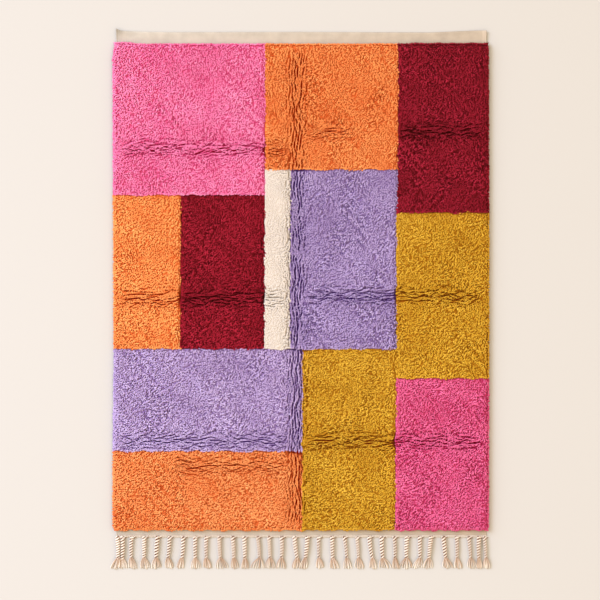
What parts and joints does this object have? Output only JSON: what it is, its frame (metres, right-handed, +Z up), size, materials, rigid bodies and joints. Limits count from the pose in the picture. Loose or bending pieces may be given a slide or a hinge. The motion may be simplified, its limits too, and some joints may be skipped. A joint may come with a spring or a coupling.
{
  "type": "hand-knotted wool rug with a knotted fringe",
  "caption": "Flat rectangular rug: thick knotted wool pile in plain colour fields on a flat-woven ground, with a fringe of twisted, tufted cords at one end.",
  "frame": {"origin": "middle of the whole rug, fringe included, on the floor plane that it rests on", "axes": "+Z up from the floor, +Y along the rug's length towards the plain head end, -Y towards the fringe, +X to the right with the head away from the viewer"},
  "size_m": [1.5084, 2.1536, 0.0282],
  "materials": {
    "wool_pile": "dense cut wool pile in pink, orange, burgundy, lavender, mustard and cream",
    "cotton_fringe": "undyed twisted yarn"
  },
  "bodies": {
    "root": {"rug_body": "wool_pile", "fringe": "cotton_fringe"}
  },
  "joints": []
}
